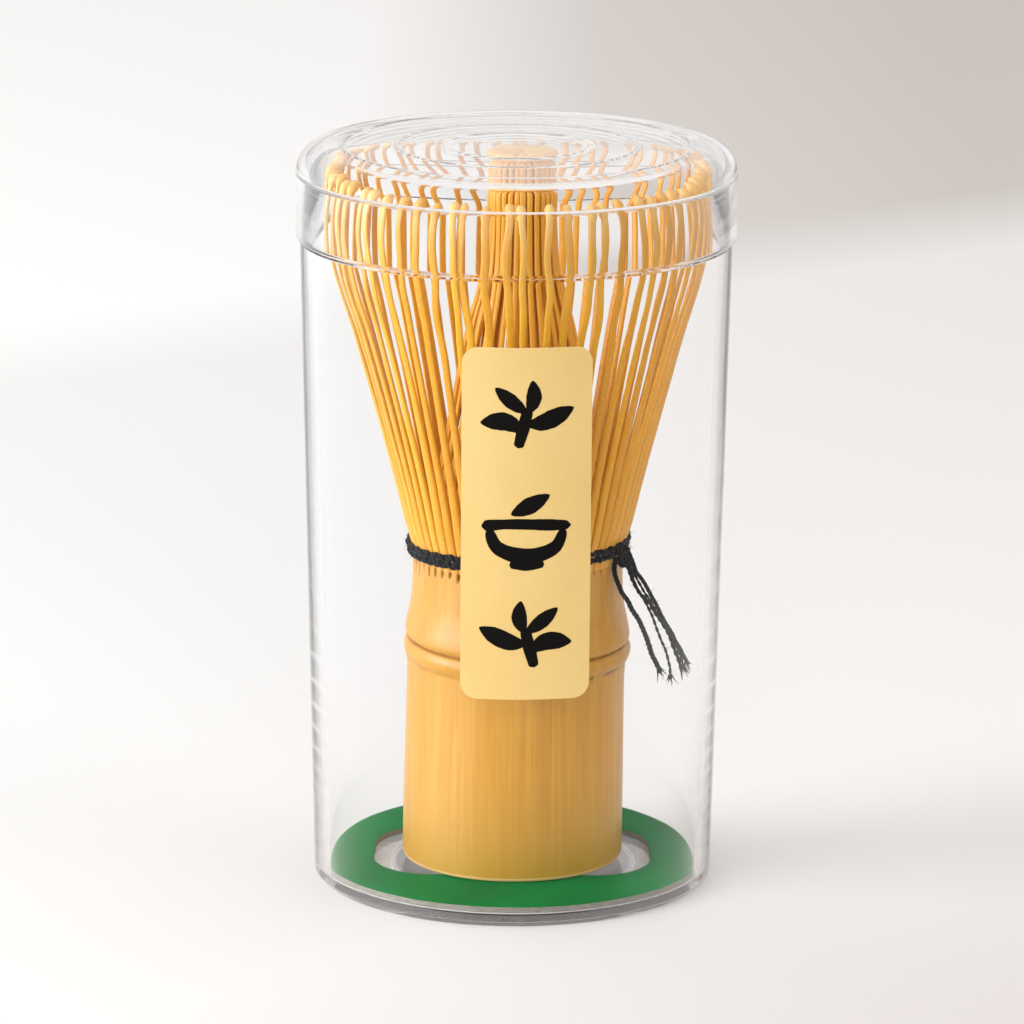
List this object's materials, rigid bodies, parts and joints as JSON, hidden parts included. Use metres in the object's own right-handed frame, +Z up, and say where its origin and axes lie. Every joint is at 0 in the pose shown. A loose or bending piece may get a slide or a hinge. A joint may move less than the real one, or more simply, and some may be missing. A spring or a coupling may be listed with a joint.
{
  "type": "bamboo tea whisk in clear case",
  "caption": "Bamboo whisk for powdered tea with a flared outer and a gathered inner crown of fine tines, bound with black thread, standing in a clear cup with a slip-on lid",
  "frame": {"origin": "middle of the case's flat underside", "axes": "+Z up along the case's axis, -Y is the side with the label, +X is the side with the thread's loose ends"},
  "size_m": [0.0704, 0.0704, 0.1204],
  "materials": {
    "bamboo": "satin bamboo culm with fine vertical grain",
    "tines": "fresh shaved bamboo, thin and slightly glossy",
    "thread": "matt twisted cotton thread, slightly fuzzy",
    "clear_plastic": "clear glossy moulded polystyrene",
    "green_board": "grey board with a green face",
    "label_paper": "cream printed paper with black ink motifs"
  },
  "bodies": {
    "case": {"case_cup": "clear_plastic", "base_ring": "green_board", "label": "label_paper"},
    "whisk": {"handle": "bamboo", "outer_tines_01": "tines", "outer_tines_02": "tines", "outer_tines_03": "tines", "outer_tines_04": "tines", "outer_tines_05": "tines", "outer_tines_06": "tines", "outer_tines_07": "tines", "outer_tines_08": "tines", "outer_tines_09": "tines", "outer_tines_10": "tines", "outer_tines_11": "tines", "outer_tines_12": "tines", "outer_tines_13": "tines", "outer_tines_14": "tines", "outer_tines_15": "tines", "outer_tines_16": "tines", "inner_tines_01": "tines", "inner_tines_02": "tines", "inner_tines_03": "tines", "inner_tines_04": "tines", "inner_tines_05": "tines", "inner_tines_06": "tines", "inner_tines_07": "tines", "inner_tines_08": "tines", "inner_tines_09": "tines", "inner_tines_10": "tines", "inner_tines_11": "tines", "inner_tines_12": "tines", "inner_tines_13": "tines", "inner_tines_14": "tines", "inner_tines_15": "tines", "inner_tines_16": "tines", "thread_binding": "thread", "thread_knot": "thread", "thread_end_1": "thread", "thread_end_2": "thread", "thread_end_3": "thread", "thread_end_4": "thread", "thread_end_5": "thread"},
    "lid": {"case_lid": "clear_plastic"}
  },
  "joints": [
    {"name": "whisk_lift", "type": "slide", "parent": "case", "child": "whisk", "axis": [0, 0, 1], "range_m": [0, 0.125]},
    {"name": "lid_lift", "type": "slide", "parent": "whisk", "child": "lid", "axis": [0, 0, 1], "range_m": [0, 0.05]}
  ]
}
